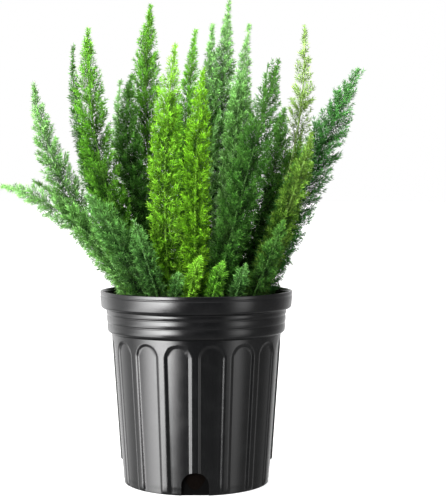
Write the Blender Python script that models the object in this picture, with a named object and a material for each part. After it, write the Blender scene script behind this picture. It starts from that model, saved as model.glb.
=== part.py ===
"""A foxtail fern in its round nursery pot, in metres, +Z up.

The origin is the middle of the pot's underside, and -Y is the side shown in the picture.
The pot, the soil and each leafy stem are separate solids. A stem stands in a plain hole in
the soil, and its needle-bearing branchlets are raised from the faces of its slim core.
"""

import math

import bmesh
import bpy
import numpy as np
from mathutils import Vector
from mathutils.kdtree import KDTree

SEED = 11

# Pot, outside
RIM_TOP = 0.2235
LIP_RADIUS = 0.1118
LIP_BOTTOM = 0.2196
LIP_ROUNDING = 0.0014
NECK_RADIUS = 0.1104
NECK_HEIGHT = 0.2184
BAND_TOP = 0.2172
BAND_RADIUS = 0.1120
BAND_FOOT_RADIUS = 0.1108
BAND_BOTTOM = 0.2042
GROOVED_TOP = 0.2022
GROOVED_TOP_RADIUS = 0.1048
GROOVED_BOTTOM = 0.1768
GROOVED_FOOT_RADIUS = 0.1031
GROOVE_DEPTH = 0.0012
GROOVE_HALF_WIDTH = 0.0014
GROOVE_HEIGHTS = (0.1864, 0.1957)
BODY_TOP = 0.1738
BODY_TOP_RADIUS = 0.0987
BODY_FOOT_RADIUS = 0.0874
FOOT_TOP = 0.0105
CONTACT_RADIUS = 0.0837
FOOT_MIDDLE = 0.0024
FOOT_MIDDLE_SPREAD = 0.62
FOOT_MIDDLE_SINK = 0.35
SMOOTH_ANGLE = 30

# Flutes, sunk into the body between narrow ridges
FLUTES = 16
FLUTE_DEPTH = 0.0040
RIDGE_HALF_ANGLE = math.radians(2.1)
FLUTE_WALL_ANGLE = math.radians(2.6)
FLUTE_TOP = 0.1692
ARCH_HEIGHT = 0.0155
ARCH_ROWS = (0.5, 0.8, 0.95)
CROWN_OPENING = 0.12
LEAST_FLUTE_FLOOR = 0.45
DEPTH_GAIN = 1.6

# Pot, inside, in steps that follow the outside
WALL_STEP = 0.0068
BAND_WALL = 0.0036
LIP_WALL = 0.0038
INSIDE_FLOOR = 0.0030
INSIDE_BODY_TOP = 0.1706
INSIDE_GROOVED_BOTTOM = 0.1790
INSIDE_GROOVED_TOP = 0.2000
INSIDE_BAND_BOTTOM = 0.2060
INSIDE_FOOT_RADIUS = BODY_FOOT_RADIUS - WALL_STEP
INSIDE_BODY_RADIUS = BODY_TOP_RADIUS - WALL_STEP
INSIDE_GROOVED_RADIUS = GROOVED_FOOT_RADIUS - BAND_WALL
INSIDE_BAND_RADIUS = LIP_RADIUS - LIP_WALL - 0.0006
INSIDE_RIM_RADIUS = LIP_RADIUS - LIP_WALL

# Drain slots at the foot, in line with four of the ridges
SLOTS = 4
SLOT_WIDTH = 0.0308
SLOT_HEIGHT = 0.0265
SLOT_BELOW = 0.0040
SLOT_REACH = 0.0400
SLOT_ARCH_STEPS = 8

# Soil
FIT = 0.00035
SOIL_TOP = 0.2100
SOIL_SIDES = 40

# Leafy stems
CORE_RADIUS = 0.0018
TIP_RADIUS = 0.0010
CORE_SIDES = 4
ROOT_DEPTH = 0.0085
HOLE_DEPTH = 0.0100
HOLE_RADIUS = 0.0024
HOLE_SIDES = 8
NEEDLE_PITCH = 0.0148
NEEDLE_BASE = 0.0030
NEEDLE_LEAN = math.radians(54)
NEEDLE_SWAY = 0.10
LEAST_NEEDLE = 0.0045
SHORTER_NEEDLES = (1.0, 0.86, 0.72, 0.58, 0.46, 0.36)
NEEDLE_PROBES = (0.3, 0.55, 0.8, 1.0)
NEEDLE_SPREAD = 0.08
SIDE_MARGIN = 0.0024
WALL_MARGIN = 0.0016
BARE_FOOT = 0.010
BARE_TIP_RINGS = 0.35
CURVE_STEPS = 200
OTHER_STEM_STEP = 0.003
OWN_STEM_STEP = 0.002

# The needles' reach along a stem as a share of the widest, from the foot to the slender tip
REACH_PLACES = (0.0, 0.25, 0.50, 0.62, 0.71, 0.80, 0.88, 0.96, 1.0)
REACH_SHARES = (0.62, 1.0, 1.0, 0.95, 0.82, 0.66, 0.47, 0.28, 0.18)

# Each stem: its foot on the soil, its middle, its tip, and its needles' reach, in metres
PLUMES = {
    "plume_front_bright": ((-0.028, -0.058), (-0.033, -0.076, 0.360), (-0.022, -0.060, 0.500), 0.0190),
    "plume_front_lime": ((0.002, -0.062), (0.001, -0.084, 0.346), (0.009, -0.070, 0.473), 0.0170),
    "plume_front_dark": ((0.020, -0.050), (0.058, -0.074, 0.358), (0.093, -0.050, 0.483), 0.0215),
    "plume_tallest": ((0.014, 0.022), (0.025, 0.058, 0.388), (0.038, 0.060, 0.566), 0.0170),
    "plume_beside_tallest": ((-0.002, 0.034), (0.010, 0.048, 0.372), (0.018, 0.050, 0.536), 0.0160),
    "plume_tall_centre": ((0.030, 0.002), (0.043, 0.020, 0.376), (0.062, 0.030, 0.534), 0.0160),
    "plume_behind_bright": ((-0.012, 0.006), (-0.013, 0.028, 0.374), (-0.002, 0.036, 0.529), 0.0140),
    "plume_tall_left": ((-0.030, 0.010), (-0.058, 0.030, 0.384), (-0.055, 0.030, 0.556), 0.0185),
    "plume_beside_tall": ((-0.038, -0.016), (-0.076, -0.004, 0.352), (-0.076, 0.002, 0.470), 0.0160),
    "plume_left_tall": ((-0.052, -0.042), (-0.108, -0.030, 0.366), (-0.124, -0.018, 0.524), 0.0220),
    "plume_left_thin": ((-0.048, 0.024), (-0.129, 0.050, 0.370), (-0.149, 0.058, 0.512), 0.0125),
    "plume_left": ((-0.062, -0.010), (-0.151, 0.004, 0.340), (-0.189, 0.000, 0.462), 0.0195),
    "plume_left_low": ((-0.068, -0.034), (-0.132, -0.038, 0.299), (-0.220, -0.030, 0.344), 0.0175),
    "plume_left_dark": ((-0.070, 0.014), (-0.135, 0.036, 0.298), (-0.196, 0.048, 0.351), 0.0130),
    "plume_front_left": ((-0.050, -0.062), (-0.087, -0.084, 0.287), (-0.117, -0.090, 0.333), 0.0165),
    "plume_front_left_low": ((-0.038, -0.078), (-0.051, -0.092, 0.256), (-0.066, -0.096, 0.304), 0.0135),
    "plume_sparse": ((0.052, 0.010), (0.112, 0.024, 0.376), (0.127, 0.030, 0.537), 0.0180),
    "plume_right": ((0.066, -0.018), (0.131, -0.024, 0.360), (0.186, -0.010, 0.478), 0.0210),
    "plume_right_olive": ((0.062, -0.042), (0.107, -0.060, 0.328), (0.130, -0.054, 0.402), 0.0160),
    "plume_right_mid": ((0.046, -0.012), (0.081, -0.012, 0.336), (0.102, 0.002, 0.433), 0.0155),
    "plume_right_low": ((0.076, 0.006), (0.102, 0.012, 0.272), (0.121, 0.012, 0.328), 0.0135),
    "plume_right_front_low": ((0.060, -0.062), (0.079, -0.080, 0.256), (0.097, -0.088, 0.304), 0.0130),
    "plume_back_pale": ((-0.024, 0.052), (-0.088, 0.090, 0.360), (-0.096, 0.104, 0.474), 0.0135),
    "plume_back_left": ((-0.048, 0.050), (-0.112, 0.096, 0.320), (-0.148, 0.114, 0.416), 0.0180),
    "plume_back_mid": ((0.002, 0.060), (-0.020, 0.108, 0.345), (-0.034, 0.128, 0.460), 0.0190),
    "plume_back_right": ((0.030, 0.050), (0.048, 0.096, 0.355), (0.054, 0.112, 0.484), 0.0185),
    "plume_back_right_out": ((0.056, 0.036), (0.100, 0.072, 0.318), (0.126, 0.090, 0.402), 0.0175),
    "plume_back_low": ((0.020, 0.076), (0.040, 0.148, 0.296), (0.048, 0.196, 0.352), 0.0170),
    "plume_back_low_left": ((-0.024, 0.076), (-0.060, 0.146, 0.290), (-0.086, 0.188, 0.338), 0.0165),
    "plume_back_low_right": ((0.054, 0.062), (0.098, 0.116, 0.278), (0.124, 0.150, 0.320), 0.0155),
    "plume_bare_stalk": ((0.042, 0.028), (0.068, 0.050, 0.362), (0.085, 0.048, 0.493), 0.0080),
    "sprout_lime": ((-0.009, -0.082), (-0.003, -0.092, 0.239), (0.006, -0.099, 0.265), 0.0105),
    "sprout_green": ((0.018, -0.078), (0.023, -0.088, 0.236), (0.031, -0.094, 0.260), 0.0105),
    "sprout_left": ((-0.022, -0.084), (-0.020, -0.092, 0.231), (-0.017, -0.098, 0.248), 0.0095),
    "sprout_right": ((0.042, -0.078), (0.048, -0.086, 0.232), (0.056, -0.090, 0.256), 0.0100),
    "sprout_back": ((-0.002, 0.088), (0.000, 0.095, 0.234), (0.004, 0.101, 0.262), 0.0100),
}

BLACK_PLASTIC = ((0.022, 0.023, 0.025), 0.42)
SOIL_BROWN = ((0.040, 0.024, 0.015), 0.95)
GREENS = {
    "plume_front_bright": (0.165, 0.330, 0.028),
    "plume_front_lime": (0.215, 0.395, 0.030),
    "plume_front_dark": (0.040, 0.150, 0.050),
    "plume_sparse": (0.230, 0.320, 0.060),
    "plume_right": (0.035, 0.160, 0.075),
    "plume_right_olive": (0.130, 0.210, 0.030),
    "sprout_lime": (0.190, 0.380, 0.030),
}
FERN_GREEN = (0.070, 0.205, 0.045)


def clear_scene():
    for obj in list(bpy.data.objects):
        bpy.data.objects.remove(obj)


def material(name, colour, roughness):
    made = bpy.data.materials.new(name)
    made.use_nodes = True
    shader = made.node_tree.nodes["Principled BSDF"]
    shader.inputs["Base Color"].default_value = (*colour, 1.0)
    shader.inputs["Roughness"].default_value = roughness
    shader.inputs["Metallic"].default_value = 0.0
    return made


def add_object(name, points, faces, finish):
    mesh = bpy.data.meshes.new(name)
    mesh.from_pydata([tuple(p) for p in points], [], faces)
    mesh.validate()
    obj = bpy.data.objects.new(name, mesh)
    bpy.context.collection.objects.link(obj)
    if finish:
        mesh.materials.append(finish)
    return obj


def shade_round(obj, angle):
    obj.data.shade_smooth()
    obj.data.set_sharp_from_angle(angle=math.radians(angle))


def body_radius(z):
    """The ridges' radius, between the foot and the top of the fluted body."""
    share = (z - FOOT_TOP) / (BODY_TOP - FOOT_TOP)
    return BODY_FOOT_RADIUS + (BODY_TOP_RADIUS - BODY_FOOT_RADIUS) * share


def flute_opening(z):
    """How wide a flute is at this height, from 0 at its arch's crown to 1 below the arch."""
    rise = (z - (FLUTE_TOP - ARCH_HEIGHT)) / ARCH_HEIGHT
    if rise <= 0:
        return 1.0
    return math.sqrt(max(0.0, 1 - rise * rise))


def grooved_radius(z):
    """The grooved band's radius: it widens a little towards the rim."""
    share = (z - GROOVED_BOTTOM) / (GROOVED_TOP - GROOVED_BOTTOM)
    return GROOVED_FOOT_RADIUS + (GROOVED_TOP_RADIUS - GROOVED_FOOT_RADIUS) * share


def fluted_ring(z, outer, sunk):
    """Points round the fluted body: for each period a ridge's two edges and a flute's three."""
    period = 2 * math.pi / FLUTES
    half = period / 2 - RIDGE_HALF_ANGLE
    opening = flute_opening(z)
    edge = half * max(opening, CROWN_OPENING)
    inner = max(edge - FLUTE_WALL_ANGLE, edge * LEAST_FLUTE_FLOOR)
    depth = FLUTE_DEPTH * sunk * min(1.0, opening * DEPTH_GAIN)
    ring = []
    for flute in range(FLUTES):
        middle = -math.pi / 2 + (flute + 0.5) * period
        for angle, radius in (
            (-edge, outer),
            (-inner, outer - depth),
            (0.0, outer - depth),
            (inner, outer - depth),
            (edge, outer),
        ):
            turn = middle + angle
            ring.append((radius * math.cos(turn), radius * math.sin(turn), z))
    return ring


def plain_ring(z, radius, sides=SOIL_SIDES):
    start = -math.pi / 2
    turns = [start + 2 * math.pi * (i + 0.5) / sides for i in range(sides)]
    return [(radius * math.cos(t), radius * math.sin(t), z) for t in turns]


def bridge(faces, low, high, sides):
    """Quads from the ring that starts at point low to the one that starts at point high."""
    for i in range(sides):
        j = (i + 1) % sides
        faces.append((low + i, low + j, high + j, high + i))


def bridge_to_fewer(faces, low, high, many, few):
    """Joins a ring of many points to a ring of half as many, where many is twice few."""
    for i in range(few):
        a = low + 2 * i
        b = low + 2 * i + 1
        c = low + (2 * i + 2) % many
        top = high + i
        faces.append((a, b, top))
        faces.append((b, c, high + (i + 1) % few, top))


def pot_shell():
    many = 5 * FLUTES
    few = many // 2
    arch_base = FLUTE_TOP - ARCH_HEIGHT
    corner = BODY_FOOT_RADIUS - CONTACT_RADIUS
    lower = [fluted_ring(0.0, CONTACT_RADIUS, 0.0)]
    foot_radius = CONTACT_RADIUS + FOOT_MIDDLE_SPREAD * corner
    lower.append(fluted_ring(FOOT_MIDDLE, foot_radius, FOOT_MIDDLE_SINK))
    lower.append(fluted_ring(FOOT_TOP, BODY_FOOT_RADIUS, 1.0))
    lower.append(fluted_ring(arch_base, body_radius(arch_base), 1.0))
    for share in ARCH_ROWS:
        z = arch_base + ARCH_HEIGHT * share
        lower.append(fluted_ring(z, body_radius(z), 1.0))
    lower.append(fluted_ring(FLUTE_TOP, body_radius(FLUTE_TOP), 0.0))

    upper = [(BODY_TOP, BODY_TOP_RADIUS), (GROOVED_BOTTOM, GROOVED_FOOT_RADIUS)]
    for height in GROOVE_HEIGHTS:
        for offset, depth in ((-GROOVE_HALF_WIDTH, 0.0), (0.0, GROOVE_DEPTH), (GROOVE_HALF_WIDTH, 0.0)):
            upper.append((height + offset, grooved_radius(height + offset) - depth))
    upper += [
        (GROOVED_TOP, GROOVED_TOP_RADIUS),
        (BAND_BOTTOM, BAND_FOOT_RADIUS),
        (BAND_TOP, BAND_RADIUS),
        (NECK_HEIGHT, NECK_RADIUS),
        (LIP_BOTTOM, LIP_RADIUS),
        (RIM_TOP - LIP_ROUNDING, LIP_RADIUS),
        (RIM_TOP, LIP_RADIUS - LIP_ROUNDING),
        (RIM_TOP - FIT, INSIDE_RIM_RADIUS),
        (INSIDE_BAND_BOTTOM, INSIDE_BAND_RADIUS),
        (INSIDE_GROOVED_TOP, INSIDE_GROOVED_RADIUS),
        (INSIDE_GROOVED_BOTTOM, INSIDE_GROOVED_RADIUS),
        (INSIDE_BODY_TOP, INSIDE_BODY_RADIUS),
        (INSIDE_FLOOR, INSIDE_FOOT_RADIUS),
    ]

    points = []
    faces = []
    for ring in lower:
        points += ring
    for row in range(len(lower) - 1):
        bridge(faces, row * many, (row + 1) * many, many)
    faces.append(tuple(reversed(range(many))))
    first = len(points)
    for z, radius in upper:
        points += plain_ring(z, radius, few)
    bridge_to_fewer(faces, first - many, first, many, few)
    for row in range(len(upper) - 1):
        bridge(faces, first + row * few, first + (row + 1) * few, few)
    last = len(points) - few
    faces.append(tuple(range(last, last + few)))
    return points, faces


def slot_cutter():
    """Four round-topped prisms that pass through the pot's foot, joined as one cutter."""
    half = SLOT_WIDTH / 2
    shoulder = SLOT_HEIGHT - half
    outline = [(-half, -SLOT_BELOW), (half, -SLOT_BELOW)]
    for step in range(SLOT_ARCH_STEPS + 1):
        turn = math.pi * step / SLOT_ARCH_STEPS
        outline.append((half * math.cos(turn), shoulder + half * math.sin(turn)))
    count = len(outline)
    points = []
    faces = []
    for slot in range(SLOTS):
        turn = -math.pi / 2 + slot * 2 * math.pi / SLOTS
        out = Vector((math.cos(turn), math.sin(turn), 0))
        side = Vector((-math.sin(turn), math.cos(turn), 0))
        start = len(points)
        for reach in (CONTACT_RADIUS - SLOT_REACH / 2, CONTACT_RADIUS + SLOT_REACH / 2):
            for across, up in outline:
                points.append(out * reach + side * across + Vector((0, 0, up)))
        bridge(faces, start, start + count, count)
        faces.append(tuple(reversed(range(start, start + count))))
        faces.append(tuple(range(start + count, start + 2 * count)))
    return points, faces


def facing_out(obj):
    mesh = bmesh.new()
    mesh.from_mesh(obj.data)
    bmesh.ops.recalc_face_normals(mesh, faces=mesh.faces)
    mesh.to_mesh(obj.data)
    mesh.free()


def cut(obj, cutter):
    facing_out(obj)
    facing_out(cutter)
    cutter.hide_render = True
    cutter.display_type = "WIRE"
    boolean = obj.modifiers.new("cut", "BOOLEAN")
    boolean.operation = "DIFFERENCE"
    boolean.object = cutter


def build_pot():
    points, faces = pot_shell()
    pot = add_object("pot", points, faces, material("black_plastic", *BLACK_PLASTIC))
    cutter_points, cutter_faces = slot_cutter()
    cut(pot, add_object("slot_cutter", cutter_points, cutter_faces, None))
    shade_round(pot, SMOOTH_ANGLE)


def soil_rings():
    """The soil's side, which follows the pot's inside at a small gap."""
    return [
        (INSIDE_FLOOR + FIT, INSIDE_FOOT_RADIUS - FIT),
        (INSIDE_BODY_TOP + FIT, INSIDE_BODY_RADIUS - FIT),
        (INSIDE_GROOVED_BOTTOM + FIT, INSIDE_GROOVED_RADIUS - FIT),
        (INSIDE_GROOVED_TOP + FIT, INSIDE_GROOVED_RADIUS - FIT),
        (INSIDE_BAND_BOTTOM + FIT, INSIDE_BAND_RADIUS - FIT),
        (SOIL_TOP, INSIDE_BAND_RADIUS - FIT),
    ]


def build_soil(plumes):
    points = []
    faces = []
    rings = soil_rings()
    for z, radius in rings:
        points += plain_ring(z, radius)
    for row in range(len(rings) - 1):
        bridge(faces, row * SOIL_SIDES, (row + 1) * SOIL_SIDES, SOIL_SIDES)
    faces.append(tuple(reversed(range(SOIL_SIDES))))
    last = len(points) - SOIL_SIDES
    faces.append(tuple(range(last, last + SOIL_SIDES)))
    soil = add_object("soil", points, faces, material("potting_soil", *SOIL_BROWN))
    hole_points = []
    hole_faces = []
    for plume in plumes:
        along = plume["start_direction"]
        across, up = frame_round(along)
        start = len(hole_points)
        for reach in (-HOLE_DEPTH, HOLE_DEPTH):
            for i in range(HOLE_SIDES):
                turn = 2 * math.pi * i / HOLE_SIDES
                spoke = across * math.cos(turn) + up * math.sin(turn)
                hole_points.append(plume["foot"] + along * reach + spoke * HOLE_RADIUS)
        bridge(hole_faces, start, start + HOLE_SIDES, HOLE_SIDES)
        hole_faces.append(tuple(reversed(range(start, start + HOLE_SIDES))))
        hole_faces.append(tuple(range(start + HOLE_SIDES, start + 2 * HOLE_SIDES)))
    cut(soil, add_object("hole_cutter", hole_points, hole_faces, None))


def frame_round(along):
    """Two directions at right angles to this one and to each other."""
    across = along.cross(Vector((0, 1, 0)))
    if across.length < 0.1:
        across = along.cross(Vector((1, 0, 0)))
    across.normalize()
    return across, along.cross(across).normalized()


def stem_curve(foot, middle, tip):
    """Points along the bent stem from its foot to its tip, evenly spaced."""
    control = 2 * middle - (foot + tip) / 2
    fine = []
    for step in range(CURVE_STEPS + 1):
        t = step / CURVE_STEPS
        fine.append(foot * (1 - t) ** 2 + control * (2 * t * (1 - t)) + tip * t * t)
    lengths = [0.0]
    for a, b in zip(fine, fine[1:]):
        lengths.append(lengths[-1] + (b - a).length)
    return fine, lengths


def point_at(plume, distance):
    fine = plume["curve"]
    lengths = plume["lengths"]
    if distance <= 0:
        return plume["foot"] + plume["start_direction"] * distance
    place = float(np.interp(distance, lengths, range(len(lengths))))
    index = min(int(place), len(fine) - 2)
    return fine[index].lerp(fine[index + 1], place - index)


def direction_at(plume, distance):
    ahead = point_at(plume, distance + OWN_STEM_STEP)
    return (ahead - point_at(plume, distance - OWN_STEM_STEP)).normalized()


def plume_reach(share):
    """The needles' reach at a place along a stem, as a share of the widest."""
    return float(np.interp(share, REACH_PLACES, REACH_SHARES))


def make_plume(name, row):
    (x, y), middle, tip, reach = row
    plume = {"name": name, "foot": Vector((x, y, SOIL_TOP)), "reach": reach}
    curve, lengths = stem_curve(plume["foot"], Vector(middle), Vector(tip))
    plume["curve"] = curve
    plume["lengths"] = lengths
    plume["length"] = lengths[-1]
    plume["start_direction"] = (curve[1] - curve[0]).normalized()
    return plume


def stem_tree(plumes, left_out):
    """Every other stem's points, for measuring how near a needle comes to them."""
    spots = []
    for plume in plumes:
        if plume is not left_out:
            steps = int(plume["length"] / OTHER_STEM_STEP)
            spots += [point_at(plume, plume["length"] * i / steps) for i in range(-2, steps + 1)]
    tree = KDTree(len(spots))
    for index, spot in enumerate(spots):
        tree.insert(spot, index)
    tree.balance()
    return tree


def own_tree(plume):
    steps = int(plume["length"] / OWN_STEM_STEP)
    tree = KDTree(steps + 1)
    for index in range(steps + 1):
        tree.insert(point_at(plume, plume["length"] * index / steps), index)
    tree.balance()
    return tree


def is_free(spot, own, others):
    """True where a point is nearer its own stem than any other, and clear of pot and soil."""
    if others.find(spot)[2] - own.find(spot)[2] < SIDE_MARGIN:
        return False
    if spot.z < SOIL_TOP + WALL_MARGIN:
        return False
    spread = math.hypot(spot.x, spot.y)
    return spot.z > RIM_TOP + WALL_MARGIN or spread < INSIDE_RIM_RADIUS - 2 * WALL_MARGIN


def needle_tip(base, direction, length, own, others):
    """The furthest free tip of a needle, or None where there is no room for one."""
    for share in SHORTER_NEEDLES:
        reach = length * share
        if reach < LEAST_NEEDLE:
            return None
        spots = [base + direction * (reach * part) for part in NEEDLE_PROBES]
        if all(is_free(spot, own, others) for spot in spots):
            return spots[-1]
    return None


def build_plume(plume, plumes, draws):
    own = own_tree(plume)
    others = stem_tree(plumes, plume)
    length = plume["length"]
    rings = max(3, round((length - BARE_FOOT) / NEEDLE_PITCH))
    pitch = (length - BARE_FOOT) / (rings + BARE_TIP_RINGS)
    across = frame_round(plume["start_direction"])[0]
    points = []
    faces = []

    def ring(distance, twist):
        nonlocal across
        along = direction_at(plume, max(distance, 0.0))
        across = (across - along * across.dot(along)).normalized()
        up = along.cross(across)
        centre = point_at(plume, distance)
        share = max(distance, 0.0) / length
        radius = CORE_RADIUS + (TIP_RADIUS - CORE_RADIUS) * share
        first = len(points)
        for i in range(CORE_SIDES):
            turn = 2 * math.pi * (i + twist) / CORE_SIDES
            points.append(centre + (across * math.cos(turn) + up * math.sin(turn)) * radius)
        return first, along

    previous, _ = ring(-ROOT_DEPTH, 0.0)
    faces.append(tuple(reversed(range(previous, previous + CORE_SIDES))))
    for row in range(rings):
        middle = BARE_FOOT + pitch * (row + 0.5)
        twist = 0.5 * (row % 2)
        low, along = ring(middle - NEEDLE_BASE / 2, twist)
        bridge(faces, previous, low, CORE_SIDES)
        high, _ = ring(middle + NEEDLE_BASE / 2, twist)
        centre = point_at(plume, middle)
        width = plume["reach"] * plume_reach(middle / length)
        for i in range(CORE_SIDES):
            j = (i + 1) % CORE_SIDES
            quad = (low + i, low + j, high + j, high + i)
            base = sum((points[k] for k in quad), Vector()) / 4
            outward = (base - centre).normalized()
            sway = draws.uniform(-NEEDLE_SWAY, NEEDLE_SWAY, 2)
            lean = NEEDLE_LEAN + sway[0]
            outward = (outward + along.cross(outward) * sway[1]).normalized()
            direction = outward * math.sin(lean) + along * math.cos(lean)
            wanted = width / math.sin(lean) * (1 - NEEDLE_SPREAD / 2 + NEEDLE_SPREAD * sway[0] / NEEDLE_SWAY)
            tip = needle_tip(base, direction, wanted, own, others)
            if tip is None:
                faces.append(quad)
                continue
            points.append(tip)
            apex = len(points) - 1
            for k in range(4):
                faces.append((quad[k], quad[(k + 1) % 4], apex))
        previous = high
    points.append(point_at(plume, length))
    for i in range(CORE_SIDES):
        faces.append((previous + i, previous + (i + 1) % CORE_SIDES, len(points) - 1))
    colour = GREENS.get(plume["name"], FERN_GREEN)
    obj = add_object(plume["name"], points, faces, material(plume["name"] + "_green", colour, 0.6))
    facing_out(obj)


def main():
    clear_scene()
    draws = np.random.default_rng(SEED)
    plumes = [make_plume(name, row) for name, row in PLUMES.items()]
    build_pot()
    build_soil(plumes)
    for plume in plumes:
        build_plume(plume, plumes, draws)


main()
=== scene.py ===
"""A foxtail fern in its black nursery pot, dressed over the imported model: fine needles, soil and pot."""
import math

import bmesh
import bpy
import numpy as np
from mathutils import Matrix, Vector


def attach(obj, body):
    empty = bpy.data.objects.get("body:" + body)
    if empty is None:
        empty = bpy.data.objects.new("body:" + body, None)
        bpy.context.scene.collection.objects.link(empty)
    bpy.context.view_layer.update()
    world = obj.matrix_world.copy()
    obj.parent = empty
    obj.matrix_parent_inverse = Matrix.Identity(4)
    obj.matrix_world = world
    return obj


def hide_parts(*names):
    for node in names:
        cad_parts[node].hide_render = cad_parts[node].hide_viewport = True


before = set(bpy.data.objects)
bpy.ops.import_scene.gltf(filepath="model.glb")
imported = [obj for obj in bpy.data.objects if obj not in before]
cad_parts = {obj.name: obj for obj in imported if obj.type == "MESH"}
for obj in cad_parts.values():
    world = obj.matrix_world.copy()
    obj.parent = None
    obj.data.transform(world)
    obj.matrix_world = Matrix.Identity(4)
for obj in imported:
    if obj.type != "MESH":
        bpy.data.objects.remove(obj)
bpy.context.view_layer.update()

SEED = 23
GOLDEN_TURN = math.pi * (3 - math.sqrt(5))

# Pot, outside
RIM_TOP = 0.2235
LIP_RADIUS = 0.1118
LIP_BOTTOM = 0.2196
NECK_RADIUS = 0.1112
NECK_HEIGHT = 0.2184
BAND_TOP = 0.2172
BAND_RADIUS = 0.1120
BAND_FOOT_RADIUS = 0.1108
BAND_BOTTOM = 0.2042
GROOVED_TOP = 0.2022
GROOVED_TOP_RADIUS = 0.1048
GROOVED_BOTTOM = 0.1768
GROOVED_FOOT_RADIUS = 0.1031
GROOVE_DEPTH = 0.0007
GROOVE_HALF_WIDTH = 0.0012
GROOVE_HEIGHTS = (0.1864, 0.1957)
RIB_SWELL = 0.0004
BODY_TOP = 0.1738
BODY_TOP_RADIUS = 0.0987
BODY_FOOT_RADIUS = 0.0874
FOOT_TOP = 0.0105
CONTACT_RADIUS = 0.0837
BAND_UNDERCUT = 0.0022
BAND_LEDGE = 0.0010
POT_SMOOTH_ANGLE = 38
ROUNDING_STEPS = 3

# How many rows of points the pot's foot, straight flutes and arched heads have
FOOT_ROWS = 6
STRAIGHT_ROWS = 10
ARCH_ROWS = 26

# Flutes and drain slots
FLUTES = 16
FLUTE_DEPTH = 0.0018
FLUTE_WALL = 0.0034
RIDGE_HALF_ANGLE = math.radians(2.1)
FLUTE_WALL_ANGLE = math.radians(2.4)
FLUTE_TOP = 0.1692
ARCH_HEIGHT = 0.0155
FLUTE_RUN_OUT = 0.0040
SLOTS = 4
SLOT_WIDTH = 0.0308
SLOT_HEIGHT = 0.0265
SLOT_BELOW = 0.0040
SLOT_REACH = 0.0200
SLOT_BACK = 0.0002
SLOT_ARCH_STEPS = 24

# Pot, inside
WALL_STEP = 0.0068
INSIDE_FLOOR = 0.0030
INSIDE_BODY_TOP = 0.1706
INSIDE_GROOVED_BOTTOM = 0.1790
INSIDE_GROOVED_TOP = 0.2000
INSIDE_BAND_BOTTOM = 0.2060
INSIDE_FOOT_RADIUS = BODY_FOOT_RADIUS - WALL_STEP
INSIDE_BODY_RADIUS = BODY_TOP_RADIUS - WALL_STEP
INSIDE_GROOVED_RADIUS = GROOVED_FOOT_RADIUS - 0.0036
INSIDE_RIM_RADIUS = LIP_RADIUS - 0.0038
INSIDE_BAND_RADIUS = INSIDE_RIM_RADIUS - 0.0006

# Soil
SOIL_TOP = 0.2100
SOIL_GAP = 0.0006
SOIL_RADIUS = INSIDE_BAND_RADIUS - SOIL_GAP
SOIL_RINGS = 60
SOIL_COLUMNS = 150
SOIL_SETTLED = 0.0004
SOIL_CLEARANCE = 0.0004
SOIL_CRUMBLE = 0.0006
SOIL_SMOOTH_ANGLE = 60
BURIED_BELOW = 0.0030
HUMPS = 26
HUMP_SIZES = (0.006, 0.022)
HUMP_LIFTS = (-0.0012, 0.0022)

# Crumbs, bark and white grains on the soil: how many of each, and their half lengths
BITS = (700, 160, 60)
BIT_SIZES = (0.0017, 0.0028, 0.0015)
BARK = 1
BARK_STRETCH = 1.9
BIT_LIFT = 0.35
BIT_FLATNESS = (1, 1, 0.35)

# Leafy stems
LINE_POINTS = 240
BARE_FOOT = 0.006
STEM_SUNK = 0.008
STEM_FOOT_RADIUS = 0.0016
STEM_TIP_RADIUS = 0.0006
STEM_SIDES = 7
STEM_ROWS = 36
STEM_END = 0.995
STEM_POINT = 0.001

# Branchlets: angles from the stem in degrees, unevenness in radians
BRANCHLET_PITCH = 0.00080
BRANCHLET_RADIUS = 0.00025
BRANCHLET_LEAN = 62
LEAN_LOST_UPWARD = 22
LEAN_LOST_AT_TIP = 14
LEAN_UNEVEN = 0.13
TURN_UNEVEN = 0.20
LEAST_BRANCHLET = 0.0020
BEND_PLACE = 0.55
BEND_UPWARD = 0.35
REACH_UNEVEN = (0.86, 1.06)

# Needles in tufts: angles from the branchlet in degrees, unevenness in radians
TUFT_PITCH = 0.00230
NEEDLES_IN_TUFT = 4
NEEDLE_LENGTH = 0.0078
NEEDLE_WIDTH = 0.00092
NEEDLE_BELLY = 0.4
NEEDLE_FOLD = 0.3
NEEDLE_OPENING = 60
OPENING_LOST_OUTWARD = 22
OPENING_UNEVEN = 0.22
NEEDLE_TURN_UNEVEN = 0.3
PLACE_UNEVEN = 0.06
CROWDED_OUTWARD = 0.72
LENGTHS_UNEVEN = (0.66, 1.10)
WIDTHS_UNEVEN = (0.75, 1.20)
NEEDLES_OVER_SOIL = 0.0015
NEEDLES_OFF_RIM = 0.0010

# Needles are shorter on stems of less reach than this, down to a share, and towards the tip
FULL_NEEDLES_REACH = 0.015
SHORTEST_NEEDLES = 0.72
SHORTER_AT_TIP = 0.22
SHORTER_OUTWARD = 0.20

# The needles' reach along a stem as a share of the widest, from the foot to the slender tip
REACH_PLACES = (0.0, 0.25, 0.50, 0.62, 0.71, 0.80, 0.88, 0.96, 1.0)
REACH_SHARES = (0.80, 1.0, 1.0, 0.96, 0.86, 0.68, 0.46, 0.22, 0.08)

# The needles' fine tips reach a little further than the solids' needles
FINE_TIPS = 1.10

# How many of a stem's branchlets are left from the foot to the tip, and on the thinly set stems
FULL_PLACES = (0.0, 0.55, 0.80, 1.0)
FULL_SHARES = (1.0, 1.0, 0.80, 0.70)
THINLY_SET = {"plume_sparse": 0.60, "plume_bare_stalk": 0.30, "plume_back_pale": 0.60}

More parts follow.
